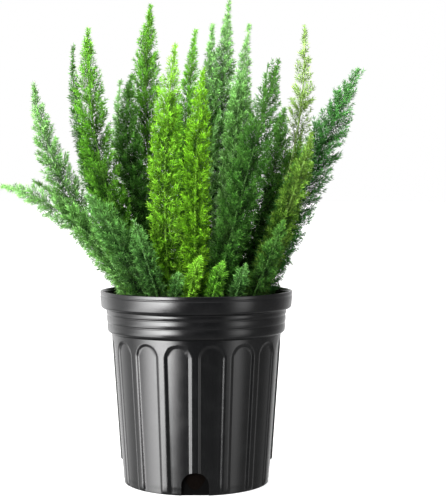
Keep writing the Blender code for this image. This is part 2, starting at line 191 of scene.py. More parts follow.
# Greens: inner needles, outer needles and young tips; the inner greens are dark as painted shade inside the
# plume. The deep and the shady greens are darker copies, painted shade for stems behind and among others;
# the pale greens are lighter, painted light for stems lit from behind and from the left
DEEP_SHADED = ((0.004, 0.018, 0.003), (0.066, 0.225, 0.026), (0.180, 0.430, 0.080))
FERN = ((0.006, 0.028, 0.004), (0.155, 0.490, 0.028), (0.340, 0.740, 0.100))
BRIGHT = ((0.010, 0.044, 0.003), (0.270, 0.660, 0.030), (0.440, 0.860, 0.090))
LIME = ((0.012, 0.050, 0.003), (0.200, 0.520, 0.015), (0.360, 0.760, 0.045))
OLIVE = ((0.012, 0.036, 0.005), (0.150, 0.350, 0.028), (0.380, 0.620, 0.110))
BLUE = ((0.005, 0.024, 0.007), (0.065, 0.270, 0.042), (0.210, 0.530, 0.150))
SHADY = ((0.005, 0.022, 0.004), (0.110, 0.330, 0.060), (0.260, 0.560, 0.150))
YELLOWISH = ((0.080, 0.150, 0.020), (0.270, 0.470, 0.060), (0.520, 0.760, 0.240))
# Painted light: lighter greens for the stems lit from behind and from the left.
PALE_LIT = ((0.014, 0.056, 0.010), (0.250, 0.590, 0.120), (0.520, 0.880, 0.360))

# Each stem: its foot on the soil, its middle, its tip and its needles' reach, in millimetres, then how
# many times as far its fine needles reach, how many times as many branchlets it has, and its greens
PLUMES = {
    "plume_front_bright": ((-28, -58), (-33, -76, 360), (-22, -60, 500), 19, 1, 1, BRIGHT),
    "plume_front_lime": ((2, -62), (1, -84, 346), (9, -70, 473), 17, 1, 1, LIME),
    "plume_front_dark": ((20, -50), (58, -74, 358), (93, -50, 483), 21.5, 1, 1, DEEP_SHADED),
    "plume_tallest": ((14, 22), (25, 58, 388), (38, 60, 566), 17, 1.1, 1.25, PALE_LIT),
    "plume_beside_tallest": ((-2, 34), (10, 48, 372), (18, 50, 536), 16, 1.05, 1.35, PALE_LIT),
    "plume_tall_centre": ((30, 2), (43, 20, 376), (62, 30, 534), 16, 1, 1, PALE_LIT),
    "plume_behind_bright": ((-12, 6), (-13, 28, 374), (-2, 36, 529), 14, 1.15, 1.3, FERN),
    "plume_tall_left": ((-30, 10), (-58, 30, 384), (-55, 30, 556), 18.5, 1.2, 1.2, FERN),
    "plume_beside_tall": ((-38, -16), (-76, -4, 352), (-76, 2, 470), 16, 1.25, 1.4, DEEP_SHADED),
    "plume_left_tall": ((-52, -42), (-108, -30, 366), (-124, -18, 524), 22, 1, 1, FERN),
    "plume_left_thin": ((-48, 24), (-129, 50, 370), (-149, 58, 512), 12.5, 1, 1, DEEP_SHADED),
    "plume_left": ((-62, -10), (-151, 4, 340), (-189, 0, 462), 19.5, 1, 1, PALE_LIT),
    "plume_left_low": ((-68, -34), (-132, -38, 299), (-220, -30, 344), 17.5, 1, 1, PALE_LIT),
    "plume_left_dark": ((-70, 14), (-135, 36, 298), (-196, 48, 351), 13, 1, 1, DEEP_SHADED),
    "plume_front_left": ((-50, -62), (-87, -84, 287), (-117, -90, 333), 16.5, 1.15, 1, SHADY),
    "plume_front_left_low": ((-38, -78), (-51, -92, 256), (-66, -96, 304), 13.5, 1, 1, SHADY),
    "plume_sparse": ((52, 10), (112, 24, 376), (127, 30, 537), 18, 1, 1, YELLOWISH),
    "plume_right": ((66, -18), (131, -24, 360), (186, -10, 478), 21, 1.15, 1.15, BLUE),
    "plume_right_olive": ((62, -42), (107, -60, 328), (130, -54, 402), 16, 1, 1, OLIVE),
    "plume_right_mid": ((46, -12), (81, -12, 336), (102, 2, 433), 15.5, 1.3, 1.4, DEEP_SHADED),
    "plume_right_low": ((76, 6), (102, 12, 272), (121, 12, 328), 13.5, 1, 1, SHADY),
    "plume_right_front_low": ((60, -62), (79, -80, 256), (97, -88, 304), 13, 1, 1, DEEP_SHADED),
    "plume_back_pale": ((-24, 52), (-88, 90, 360), (-96, 104, 474), 13.5, 1, 1.3, PALE_LIT),
    "plume_back_left": ((-48, 50), (-112, 96, 320), (-148, 114, 416), 18, 1.15, 1.5, DEEP_SHADED),
    "plume_back_mid": ((2, 60), (-20, 108, 345), (-34, 128, 460), 19, 1.3, 1.6, DEEP_SHADED),
    "plume_back_right": ((30, 50), (48, 96, 355), (54, 112, 484), 18.5, 1.35, 1.6, DEEP_SHADED),
    "plume_back_right_out": ((56, 36), (100, 72, 318), (126, 90, 402), 17.5, 1.2, 1.5, FERN),
    "plume_back_low": ((20, 76), (40, 148, 296), (48, 196, 352), 17, 1, 1, FERN),
    "plume_back_low_left": ((-24, 76), (-60, 146, 290), (-86, 188, 338), 16.5, 1, 1, BLUE),
    "plume_back_low_right": ((54, 62), (98, 116, 278), (124, 150, 320), 15.5, 1, 1, FERN),
    "plume_bare_stalk": ((42, 28), (68, 50, 362), (85, 48, 493), 8, 1, 1, DEEP_SHADED),
    "sprout_lime": ((-9, -82), (-3, -92, 239), (6, -99, 265), 10.5, 1, 1, BRIGHT),
    "sprout_green": ((18, -78), (23, -88, 236), (31, -94, 260), 10.5, 1, 1, FERN),
    "sprout_left": ((-22, -84), (-20, -92, 231), (-17, -98, 248), 9.5, 1, 1, SHADY),
    "sprout_right": ((42, -78), (48, -86, 232), (56, -90, 256), 10, 1, 1, SHADY),
    "sprout_back": ((-2, 88), (0, 95, 234), (4, 101, 262), 10, 1, 1, BRIGHT),
}

# Painted shade: how much darker the needles are near the foot, on the front stems and on those among others
FRONT_STEMS = (
    "plume_left_low", "plume_right", "plume_front_bright", "plume_front_lime", "plume_front_dark",
    "sprout_lime", "sprout_green",
)
LIT_TO_THE_FOOT = 0.15
SHADED_FOOT = 0.56

YOUNG_TIPS = 0.45
NEEDLE_GLOSS = 0.15
LIGHT_THROUGH_NEEDLES = 0.20

# Corners of a branchlet and of a needle within their cell on the flat map, above the stem's strip
TUBE_CELL = ((0.1, 0.1), (0.45, 0.1), (0.8, 0.1), (0.1, 0.5), (0.45, 0.5), (0.8, 0.5), (0.45, 0.9))
BLADE_CELL = ((0.5, 0.1), (0.15, 0.5), (0.5, 0.9), (0.85, 0.5))
STEM_STRIP = 0.04

# How far outward each point of a branchlet and of a needle counts, from 0 to 1: the inner points are
# darkened as painted shade, and the outermost needles' ends lightened as painted light
TUBE_OUTWARD = (0.10, 0.10, 0.10, 0.35, 0.35, 0.35, 0.60)
BLADE_OUTWARD = (0, 0.15, 0.38, 0.15)
INNERMOST_NEEDLE = 0.05
OUTERMOST_NEEDLE = 0.65
TONE_OF_BRANCHLET = 0.3

# Camera: its place in metres, its tilt down in degrees, and its lens in millimetres
CAMERA_PLACE = (0.031, -1.5, 0.330)
CAMERA_TILT = 2.29
LENS = 92.64
FARTHEST = 200.0

# Light round the plant: degrees from beside the camera, growing to the right, and brightness
ROOM_LIGHT = (
    (-180, 1.0), (-160, 1.5), (-135, 2.4), (-112, 1.5), (-98, 1.3), (-85, 2.6), (-76, 6.0), (-66, 13),
    (-60, 17), (-50, 21), (-42, 25), (-34, 25), (-28, 14), (-23, 2.4), (-18, 0.6), (-8, 0.08), (30, 0.08),
    (44, 0.6), (50, 2.2), (60, 3.2), (66, 2.0), (74, 0.4), (110, 0.25), (130, 0.5), (145, 0.9),
    (160, 1.1), (180, 1.2),
)
BRIGHTEST = 25.0

# The room by height, as the sine of the angle above the horizon: from, to, and the value at each
LOW_DOWN = (-0.34, -0.24, 1.0, 0.0)
WALLS_UPWARD = (0.30, 0.66, 1.0, 0.05)
WALLS_DOWNWARD = (-0.70, -0.45, 0.0, 1.0)
CEILING = (0.55, 0.95, 0.0, 1.6)
GROUND = (-0.75, -0.50, 0.20, 0.0)
LOW_WALLS = (0.0, 1.0, 1.0, 0.38)
LOW_GLOW = 0.22

# Low down, the soft box's right edge lies further left: turns from, to, and the shift at each, in radians
BOX_SHIFT = (-0.4, -0.1, 0.33, 0.0)

# Soft panels: azimuth in degrees, height, distance, width and length in metres, and watts
PANELS = {
    "front_panel": (-30, 1.5, 1.6, 1.4, 1.2, 9),
    "top_panel": (-40, 2.2, 0.6, 1.6, 1.6, 28),
}
PANELS_AIM = (0, 0, 0.25)

# Floor
FLOOR_GREY = (0.55, 0.55, 0.55)
FLOOR_BRIGHTENED = 0.82
FLOOR_SIZE = 200
FLOOR_BELOW = 0.0002


# Helpers for meshes

def mesh_object(name, points, faces, finishes, face_finish=None, smooth=None, flat_spots=None):
    """An object from arrays of points and of faces with an equal number of corners."""
    points = np.asarray(points, dtype=np.float32)
    faces = np.asarray(faces, dtype=np.int32)
    mesh = bpy.data.meshes.new(name)
    mesh.vertices.add(len(points))
    mesh.vertices.foreach_set("co", points.ravel())
    mesh.loops.add(faces.size)
    mesh.loops.foreach_set("vertex_index", faces.ravel())
    mesh.polygons.add(len(faces))
    mesh.polygons.foreach_set("loop_start", np.arange(len(faces), dtype=np.int32) * faces.shape[1])
    if face_finish is not None:
        mesh.polygons.foreach_set("material_index", np.asarray(face_finish, dtype=np.int32))
    mesh.update(calc_edges=True)
    if flat_spots is not None:
        flat = mesh.uv_layers.new(name="OFBake")
        flat.data.foreach_set("uv", np.asarray(flat_spots, dtype=np.float32)[faces.ravel()].ravel())
    mesh.validate()
    for finish in finishes:
        mesh.materials.append(finish)
    obj = bpy.data.objects.new(name, mesh)
    bpy.context.collection.objects.link(obj)
    if smooth is not None:
        mesh.shade_smooth()
        mesh.set_sharp_from_angle(angle=math.radians(smooth))
    return obj


def unit(rows):
    return rows / np.maximum(np.linalg.norm(rows, axis=-1, keepdims=True), 1e-12)


def dress(piece, node):
    """The piece rides on the one body and stands for its node."""
    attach(piece, "root")
    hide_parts(node)


# Helpers for materials

def new_group(name, inputs, outputs):
    group = bpy.data.node_groups.new(name, "ShaderNodeTree")
    for label, kind, value in inputs:
        socket = group.interface.new_socket(label, in_out="INPUT", socket_type=kind)
        socket.default_value = value
    for label, kind in outputs:
        group.interface.new_socket(label, in_out="OUTPUT", socket_type=kind)
    return group, group.nodes.new("NodeGroupInput"), group.nodes.new("NodeGroupOutput")


def place_group(tree, group, values):
    node = tree.nodes.new("ShaderNodeGroup")
    node.node_tree = group
    for label, value in values.items():
        node.inputs[label].default_value = value
    return node


def feed(tree, socket, value):
    """Sets a socket to a value, or links another node's output to it."""
    if isinstance(value, (int, float, tuple)):
        socket.default_value = value
    else:
        tree.links.new(value, socket)


def math_node(tree, operation, first, second):
    node = tree.nodes.new("ShaderNodeMath")
    node.operation = operation
    feed(tree, node.inputs[0], first)
    feed(tree, node.inputs[1], second)
    return node.outputs[0]


def mix_colours(tree, share, first, second):
    """The first colour going over into the second with the share."""
    node = tree.nodes.new("ShaderNodeMix")
    node.data_type = "RGBA"
    for index, value in ((0, share), (6, first), (7, second)):
        feed(tree, node.inputs[index], value)
    return node.outputs[2]


def mix_shaders(tree, share, first, second):
    node = tree.nodes.new("ShaderNodeMixShader")
    for socket, value in zip(node.inputs, (share, first, second)):
        feed(tree, socket, value)
    return node.outputs[0]


def noise(tree, scale, detail, roughness=0.55):
    spot = tree.nodes.new("ShaderNodeTexCoord")
    node = tree.nodes.new("ShaderNodeTexNoise")
    node.inputs["Roughness"].default_value = roughness
    feed(tree, node.inputs["Scale"], scale)
    feed(tree, node.inputs["Detail"], detail)
    tree.links.new(spot.outputs["Object"], node.inputs["Vector"])
    return node.outputs["Fac"]


def remap(tree, value, low, high, to_low, to_high):
    """The value carried from one range to another, and held at its ends."""
    node = tree.nodes.new("ShaderNodeMapRange")
    for socket, number in zip(node.inputs[1:5], (low, high, to_low, to_high)):
        socket.default_value = number
    tree.links.new(value, node.inputs[0])
    return node.outputs[0]


def new_material(name, colour, roughness):
    made = bpy.data.materials.new(name)
    made.use_nodes = True
    shader = made.node_tree.nodes["Principled BSDF"]
    shader.inputs["Base Color"].default_value = (*colour, 1.0)
    shader.inputs["Roughness"].default_value = roughness
    return made, made.node_tree, shader


# Materials

def needle_tones():
    """Colours of living green: darker near the stem and low down, as painted shade; lighter at the
    outermost needles' ends, as painted light; younger at the tips; each needle its own.
    """
    group, given, out = new_group(
        "needle_tones",
        [
            ("Inner", "NodeSocketColor", (0.01, 0.05, 0.01, 1)),
            ("Outer", "NodeSocketColor", (0.07, 0.24, 0.04, 1)),
            ("Young", "NodeSocketColor", (0.2, 0.4, 0.07, 1)),
            ("Tip Glow", "NodeSocketFloat", 0.4),
            ("Foot Shade", "NodeSocketFloat", 0.5),
        ],
        [("Color", "NodeSocketColor"), ("Roughness", "NodeSocketFloat")],
    )
    links = group.links
    mark = group.nodes.new("ShaderNodeAttribute")
    mark.attribute_name = "growth"
    split = group.nodes.new("ShaderNodeSeparateColor")
    links.new(mark.outputs["Color"], split.inputs[0])
    along, outward, luck = split.outputs[0], split.outputs[1], split.outputs[2]
    inner, outer, young = (given.outputs[label] for label in ("Inner", "Outer", "Young"))
    # Painted shade: needles near the stem go dark towards the Inner colour.
    green = mix_colours(group, remap(group, outward, 0.28, 0.98, 0, 1), inner, outer)
    # Painted light: the outermost needles' ends go over into the Young colour.
    outer_tip_light = remap(group, outward, 0.82, 1.0, 0, 0.85)
    green = mix_colours(group, outer_tip_light, green, young)
    patches = remap(group, noise(group, 38.0, 2.0), 0.50, 0.72, 0, 0.22)
    green = mix_colours(group, patches, green, young)
    tip = math_node(group, "MULTIPLY", remap(group, along, 0.62, 1.0, 0, 1), given.outputs["Tip Glow"])
    green = mix_colours(group, tip, green, young)
    shade = remap(group, luck, 0.0, 1.0, 0.20, 1.98)
    # Painted shade: each needle's tone is darkened towards the foot by the Foot Shade.
    low_down = remap(group, along, 0.15, 0.70, 1.0, 0.0)
    lost = math_node(group, "MULTIPLY", low_down, given.outputs["Foot Shade"])
    shade = math_node(group, "MULTIPLY", shade, math_node(group, "SUBTRACT", 1.0, lost))
    scaled = group.nodes.new("ShaderNodeVectorMath")
    scaled.operation = "SCALE"
    links.new(green, scaled.inputs[0])
    links.new(shade, scaled.inputs["Scale"])
    links.new(scaled.outputs[0], out.inputs["Color"])
    links.new(remap(group, luck, 0, 1, 0.42, 0.62), out.inputs["Roughness"])
    return group


def needle_material(name, tones, greens, foot_shade):
    made, tree, shader = new_material(name, greens[1], 0.5)
    values = {label: (*colour, 1.0) for label, colour in zip(("Inner", "Outer", "Young"), greens)}
    group = place_group(tree, tones, {**values, "Tip Glow": YOUNG_TIPS, "Foot Shade": foot_shade})
    tree.links.new(group.outputs["Color"], shader.inputs["Base Color"])
    tree.links.new(group.outputs["Roughness"], shader.inputs["Roughness"])
    shader.inputs["Specular IOR Level"].default_value = NEEDLE_GLOSS
    through = tree.nodes.new("ShaderNodeBsdfTranslucent")
    tree.links.new(group.outputs["Color"], through.inputs["Color"])
    surface = mix_shaders(tree, LIGHT_THROUGH_NEEDLES, shader.outputs[0], through.outputs[0])
    tree.links.new(surface, tree.nodes["Material Output"].inputs["Surface"])
    return made


def irregular_flecks():
    """Irregular spots as a mask from 0 to 1, for bark, crumbs and soil."""
    group, given, out = new_group(
        "irregular_flecks",
        [("Scale", "NodeSocketFloat", 260.0), ("Detail", "NodeSocketFloat", 3.0)],
        [("Mask", "NodeSocketFloat")],
    )
    spots = noise(group, given.outputs["Scale"], given.outputs["Detail"])
    group.links.new(remap(group, spots, 0.35, 0.7, 0, 1), out.inputs["Mask"])
    return group


def stem_material(name, flecks, colour):
    made, tree, shader = new_material(name, colour, 0.5)
    fleck = place_group(tree, flecks, {"Scale": 260.0, "Detail": 3.0}).outputs["Mask"]
    darker = tuple(0.45 * part for part in colour)
    tree.links.new(mix_colours(tree, fleck, (*colour, 1.0), (*darker, 1.0)), shader.inputs["Base Color"])
    return made


def moulded_grain():
    """The fine tooth and faint scuffs of moulded plastic: a height and a wear mask."""
    group, given, out = new_group(
        "moulded_grain",
        [("Grain Scale", "NodeSocketFloat", 900.0), ("Scuff Scale", "NodeSocketFloat", 40.0)],
        [("Height", "NodeSocketFloat"), ("Scuff", "NodeSocketFloat")],
    )
    grain = noise(group, given.outputs["Grain Scale"], 2.0, 0.5)
    scuff = noise(group, given.outputs["Scuff Scale"], 6.0, 0.7)
    group.links.new(grain, out.inputs["Height"])
    group.links.new(remap(group, scuff, 0.45, 0.75, 0, 1), out.inputs["Scuff"])
    return group


def rough_surface(tree, shader, height, strength, distance):
    bump = tree.nodes.new("ShaderNodeBump")
    bump.inputs["Strength"].default_value = strength
    bump.inputs["Distance"].default_value = distance
    tree.links.new(height, bump.inputs["Height"])
    tree.links.new(bump.outputs[0], shader.inputs["Normal"])


def black_plastic(grain_group):
    """Semi-gloss black plastic, a little greyer and duller where it is scuffed."""
    made, tree, shader = new_material("black_plastic", (0.004, 0.0042, 0.0045), 0.25)
    grain = place_group(tree, grain_group, {"Grain Scale": 1400.0, "Scuff Scale": 45.0})
    scuff = grain.outputs["Scuff"]
    colour = mix_colours(tree, scuff, (0.0035, 0.0037, 0.0040, 1), (0.0065, 0.0067, 0.0070, 1))
    tree.links.new(colour, shader.inputs["Base Color"])
    tree.links.new(remap(tree, scuff, 0, 1, 0.19, 0.26), shader.inputs["Roughness"])
    rough_surface(tree, shader, grain.outputs["Height"], 0.18, 0.0002)
    return made


def slot_shade_finish():
    """Near black on the drain slots' cut sides: painted shade, so that the slots read as dark holes."""
    made, _, shader = new_material("painted_slot_shade", (0.003, 0.003, 0.003), 0.9)
    shader.inputs["Specular IOR Level"].default_value = 0.0
    return made


def potting_soil(flecks):
    made, tree, shader = new_material("potting_soil", (0.03, 0.018, 0.011), 0.95)
    clods = place_group(tree, flecks, {"Scale": 220.0, "Detail": 5.0}).outputs["Mask"]
    colour = mix_colours(tree, clods, (0.012, 0.008, 0.006, 1), (0.075, 0.045, 0.026, 1))
    tree.links.new(colour, shader.inputs["Base Color"])
    rough_surface(tree, shader, noise(tree, 600.0, 4.0), 0.6, 0.001)
    return made


def plain_bits(name, flecks, colour):
    made, tree, shader = new_material(name, colour, 0.9)
    spots = place_group(tree, flecks, {"Scale": 400.0, "Detail": 3.0}).outputs["Mask"]
    darker = tuple(0.4 * part for part in colour)
    share = remap(tree, spots, 0, 1, 0.55, 1.25)
    tree.links.new(mix_colours(tree, share, (*darker, 1.0), (*colour, 1.0)), shader.inputs["Base Color"])
    return made


# Pot

def rounded(corners):
    """A turned outline with its corners rounded: each corner is radius, height, rounding."""
    outline = []
    for index, (radius, height, rounding) in enumerate(corners):
        here = np.array((radius, height))
        if rounding == 0 or index in (0, len(corners) - 1):
            outline.append(here)
            continue
        before = np.array(corners[index - 1][:2]) - here
        after = np.array(corners[index + 1][:2]) - here
        size = min(rounding, 0.45 * np.linalg.norm(before), 0.45 * np.linalg.norm(after))
        start = here + unit(before) * size
        end = here + unit(after) * size
        for step in range(ROUNDING_STEPS + 1):
            t = step / ROUNDING_STEPS
            outline.append(start * (1 - t) ** 2 + here * 2 * t * (1 - t) + end * t * t)
    return outline


def grooved_radius(height):
    """The grooved band's radius: it widens a little towards the rim."""
    share = (height - GROOVED_BOTTOM) / (GROOVED_TOP - GROOVED_BOTTOM)
    return GROOVED_FOOT_RADIUS + (GROOVED_TOP_RADIUS - GROOVED_FOOT_RADIUS) * share


def ribs():
    """Three softly swollen ribs with a groove between each two."""
    edges = (GROOVED_BOTTOM, *GROOVE_HEIGHTS, GROOVED_TOP)
    corners = [(GROOVED_FOOT_RADIUS, GROOVED_BOTTOM, 0.0016)]
    for low, high in zip(edges, edges[1:]):
        middle = (low + high) / 2
        corners.append((grooved_radius(middle) + RIB_SWELL, middle, 0.0030))
        if high == GROOVED_TOP:
            break
        corners += [
            (grooved_radius(high - GROOVE_HALF_WIDTH), high - GROOVE_HALF_WIDTH, 0.0008),
            (grooved_radius(high) - GROOVE_DEPTH, high, 0.0006),
            (grooved_radius(high + GROOVE_HALF_WIDTH), high + GROOVE_HALF_WIDTH, 0.0008),
        ]
    return corners


def pot_outline():
    """The turned outline above the body: up the outside, over the lip and down the inside."""
    corners = [
        (BODY_TOP_RADIUS, BODY_TOP, 0.0010),
        *ribs(),
        (GROOVED_TOP_RADIUS, GROOVED_TOP, 0.0014),
        (BAND_FOOT_RADIUS - BAND_UNDERCUT, BAND_BOTTOM - BAND_LEDGE, 0.0010),
        (BAND_FOOT_RADIUS, BAND_BOTTOM + 0.0008, 0.0016),
        (BAND_RADIUS, BAND_TOP, 0.0012),
        (NECK_RADIUS, NECK_HEIGHT, 0.0006),
        (LIP_RADIUS, LIP_BOTTOM, 0.0010),
        (LIP_RADIUS, RIM_TOP, 0.0018),
        (INSIDE_RIM_RADIUS + 0.0012, RIM_TOP, 0.0014),
        (INSIDE_RIM_RADIUS, RIM_TOP - 0.0030, 0.0010),
        (INSIDE_BAND_RADIUS, INSIDE_BAND_BOTTOM, 0.0012),
        (INSIDE_GROOVED_RADIUS, INSIDE_GROOVED_TOP, 0.0012),
        (INSIDE_GROOVED_RADIUS, INSIDE_GROOVED_BOTTOM, 0),
        (INSIDE_BODY_RADIUS, INSIDE_BODY_TOP, 0),
        (INSIDE_FOOT_RADIUS, INSIDE_FLOOR, 0),
    ]
    return rounded(corners)


def pot_turns():
    """The pot's columns, closest together at the flutes' walls."""
    period = 2 * math.pi / FLUTES
    wall = RIDGE_HALF_ANGLE + FLUTE_WALL_ANGLE
    half = np.concatenate([
        np.linspace(0, RIDGE_HALF_ANGLE, 3)[:-1],
        np.linspace(RIDGE_HALF_ANGLE, wall, 7)[:-1],
        np.linspace(wall, period / 2, 6),
    ])
    whole = np.concatenate([half, period - half[-2:0:-1]])
    return np.concatenate([-math.pi / 2 + flute * period + whole for flute in range(FLUTES)])


def flute_sink(turns, height, radius):
    """How deep the round-headed flutes lie at these turns."""
    period = 2 * math.pi / FLUTES
    offset = (turns + math.pi / 2) % period - period / 2
    half = period / 2 - RIDGE_HALF_ANGLE
    across = np.abs(offset) / half
    rise = max(0.0, (height - (FLUTE_TOP - ARCH_HEIGHT)) / ARCH_HEIGHT)
    inside = np.clip(1 - np.sqrt(across**2 + rise**2), 0, 1) * half * radius
    share = np.clip(inside / FLUTE_WALL, 0, 1)
    foot = min(1.0, max(0.0, height / FLUTE_RUN_OUT))
    eased = 0.5 * share + 0.5 * share * share * (3 - 2 * share)
    return FLUTE_DEPTH * eased * foot


def pot_rows():
    """Radius and height of each ring, from the foot up and down inside, and how many are fluted."""
    corner = BODY_FOOT_RADIUS - CONTACT_RADIUS
    rows = []
    for t in np.linspace(0, math.pi / 2, FOOT_ROWS):
        rows.append((CONTACT_RADIUS + corner * math.sin(t), FOOT_TOP * (1 - math.cos(t))))
    arch_foot = FLUTE_TOP - ARCH_HEIGHT
    straight = np.linspace(FOOT_TOP, arch_foot, STRAIGHT_ROWS)[1:]
    arch = arch_foot + ARCH_HEIGHT * np.sin(np.linspace(0, math.pi / 2, ARCH_ROWS))[1:]
    for height in (*straight, *arch, FLUTE_TOP + 0.001):
        share = (height - FOOT_TOP) / (BODY_TOP - FOOT_TOP)
        rows.append((BODY_FOOT_RADIUS + (BODY_TOP_RADIUS - BODY_FOOT_RADIUS) * share, height))
    fluted = len(rows)
    rows += [tuple(spot) for spot in pot_outline()]
    return rows, fluted


def pot_points(turns):
    rows, fluted = pot_rows()
    points = []
    for index, (radius, height) in enumerate(rows):
        sink = flute_sink(turns, height, radius) if index < fluted else 0.0
        points.append(ring(radius - sink, turns, height))
    return np.concatenate(points)


def ring(radius, turns, height):
    """Points round the upright axis."""
    height = np.broadcast_to(height, turns.shape)
    return np.stack([radius * np.cos(turns), radius * np.sin(turns), height], axis=1)


def cap_faces(hub, first, columns, flip):
    """A fan of triangles from a ring to its hub."""
    near = first + np.arange(columns)
    far = first + (np.arange(columns) + 1) % columns
    middle = np.full(columns, hub)
    return np.stack([far, near, middle] if flip else [near, far, middle], axis=1)


def closed_rings(points, columns, first_hub, last_hub, inward=False):
    """Rings of points closed round a hub at each end, and the triangles of the whole."""
    rows = len(points) // columns
    near = np.arange(columns)
    far = (near + 1) % columns
    starts = columns * np.arange(rows - 1)[:, None]
    quads = np.stack([starts + near, starts + far, starts + columns + far, starts + columns + near], axis=2)
    quads = quads.reshape(-1, 4)[:, ::-1 if inward else 1]
    first_cap = cap_faces(len(points), 0, columns, not inward)
    last_cap = cap_faces(len(points) + 1, (rows - 1) * columns, columns, inward)
    faces = np.concatenate([quads[:, [0, 1, 2]], quads[:, [0, 2, 3]], first_cap, last_cap])
    return np.concatenate([points, [first_hub, last_hub]]), faces


def build_pot(finish, painted_slot_shade):
    turns = pot_turns()
    points, faces = closed_rings(pot_points(turns), len(turns), (0, 0, 0), (0, 0, INSIDE_FLOOR))
    pot = mesh_object("pot_shell", points, faces, [finish])
    cutter = slot_cutter()
    # The slots' cut sides take a near-black finish: painted shade.
    cutter.data.materials.append(painted_slot_shade)
    cut = pot.modifiers.new("slots", "BOOLEAN")
    cut.material_mode = "TRANSFER"
    cut.object = cutter
    graph = bpy.context.evaluated_depsgraph_get()
    shell = bpy.data.meshes.new_from_object(pot.evaluated_get(graph))
    pot.modifiers.clear()
    pot.data = shell
    bpy.data.objects.remove(cutter)
    pot.data.shade_smooth()
    pot.data.set_sharp_from_angle(angle=math.radians(POT_SMOOTH_ANGLE))
    dress(pot, "pot")


def slot_cutter():
    """Round-topped prisms through the pot's foot, one for each drain slot."""
    half = SLOT_WIDTH / 2
    shoulder = SLOT_HEIGHT - half
    shape = bmesh.new()
    outline = [(-half, -SLOT_BELOW), (half, -SLOT_BELOW)]
    for turn in np.linspace(0, math.pi, SLOT_ARCH_STEPS + 1):
        outline.append((half * math.cos(turn), shoulder + half * math.sin(turn)))
    for slot in range(SLOTS):
        turn = -math.pi / 2 + slot * 2 * math.pi / SLOTS
        out = Vector((math.cos(turn), math.sin(turn), 0))
        side = Vector((-math.sin(turn), math.cos(turn), 0))
        rings = []
        for reach in (INSIDE_FOOT_RADIUS + SLOT_BACK, CONTACT_RADIUS + SLOT_REACH):
            rings.append([shape.verts.new(out * reach + side * a + Vector((0, 0, b))) for a, b in outline])
        inner, outer = rings
        for i in range(len(outline)):
            j = (i + 1) % len(outline)
            shape.faces.new((inner[i], inner[j], outer[j], outer[i]))
        shape.faces.new(inner)
        shape.faces.new(outer)
    bmesh.ops.recalc_face_normals(shape, faces=shape.faces)
    mesh = bpy.data.meshes.new("slot_cutter")
    shape.to_mesh(mesh)
    shape.free()
    cutter = bpy.data.objects.new("slot_cutter", mesh)
    bpy.context.collection.objects.link(cutter)
    return cutter


# Soil

def soil_surface(turns, draws):
    """The soil's top from its middle to the pot's wall, with low humps and a crumbly grain."""
    humps = draws.uniform(-1, 1, (HUMPS, 2)) * SOIL_RADIUS
    sizes = draws.uniform(*HUMP_SIZES, HUMPS)
    lifts = draws.uniform(*HUMP_LIFTS, HUMPS)
    rings = []
    for number in range(1, SOIL_RINGS + 1):
        flat = ring(SOIL_RADIUS * number / SOIL_RINGS, turns, SOIL_TOP - SOIL_SETTLED)
        for hump, size, lift in zip(humps, sizes, lifts):
            away = (flat[:, 0] - hump[0]) ** 2 + (flat[:, 1] - hump[1]) ** 2
            flat[:, 2] += lift * np.exp(-away / size**2)
        flat[:, 2] += draws.uniform(-SOIL_CRUMBLE, SOIL_CRUMBLE, len(turns))
        rings.append(flat)
    return rings


def build_soil(finishes, draws):
    """The soil as one closed body, its buried faces in their own near-black finish: painted shade where the
    soil's side shows through the drain slots.
    """
    turns = 2 * math.pi * np.arange(SOIL_COLUMNS) / SOIL_COLUMNS
    base_height = INSIDE_FLOOR + SOIL_CLEARANCE
    rings = soil_surface(turns, draws)
    for height, radius in (
        (INSIDE_BAND_BOTTOM + SOIL_CLEARANCE, INSIDE_BAND_RADIUS - SOIL_GAP - 0.0002),
        (INSIDE_GROOVED_TOP - SOIL_CLEARANCE, INSIDE_GROOVED_RADIUS - SOIL_GAP),
        (INSIDE_GROOVED_BOTTOM + SOIL_CLEARANCE, INSIDE_GROOVED_RADIUS - SOIL_GAP),
        (INSIDE_BODY_TOP, INSIDE_BODY_RADIUS - SOIL_GAP),
        (base_height, INSIDE_FOOT_RADIUS - SOIL_GAP),
    ):
        rings.append(ring(radius, turns, height))
    hubs = (0, 0, SOIL_TOP), (0, 0, base_height)
    points, faces = closed_rings(np.concatenate(rings), SOIL_COLUMNS, *hubs, inward=True)
    buried = np.min(points[faces][:, :, 2], axis=1) < SOIL_TOP - BURIED_BELOW
    soil = mesh_object("soil_bed", points, faces, finishes, buried, smooth=SOIL_SMOOTH_ANGLE)
    dress(soil, "soil")


def build_bits(finishes, draws):
    """Crumbs, bark and a few white grains lying on the soil: squashed eight-sided lumps."""
    count = sum(BITS)
    kind = np.repeat(np.arange(len(BITS)), BITS)
    radius = (SOIL_RADIUS - 0.004) * np.sqrt(draws.uniform(0, 1, count))
    turn = draws.uniform(0, 2 * math.pi, count)
    size = np.array(BIT_SIZES)[kind] * draws.uniform(0.5, 1.3, count)
    middle = ring(radius, turn, SOIL_TOP + BIT_LIFT * size)
    long_way = unit(draws.normal(size=(count, 3)) * BIT_FLATNESS)
    flat_way = unit(np.cross(long_way, draws.normal(size=(count, 3))))
    last_way = np.cross(long_way, flat_way)
    stretch = np.where(kind == BARK, BARK_STRETCH, 1.0)[:, None]
    arms = [
        long_way * size[:, None] * stretch,
        flat_way * size[:, None] * draws.uniform(0.6, 0.9, (count, 1)),
        last_way * size[:, None] * draws.uniform(0.3, 0.6, (count, 1)),
    ]
    points = np.stack([middle + sign * arm for arm in arms for sign in (1, -1)], axis=1).reshape(-1, 3)
    corners = [(a, b, c) for a in (0, 1) for b in (2, 3) for c in (4, 5)]
    corners = [(a, c, b) if (a + b + c) % 2 else (a, b, c) for a, b, c in corners]
    faces = (np.arange(count)[:, None, None] * 6 + np.array(corners)[None]).reshape(-1, 3)
    bits = mesh_object("soil_bits", points, faces, finishes, np.repeat(kind, len(corners)))
    dress(bits, "soil")


# Leafy stems

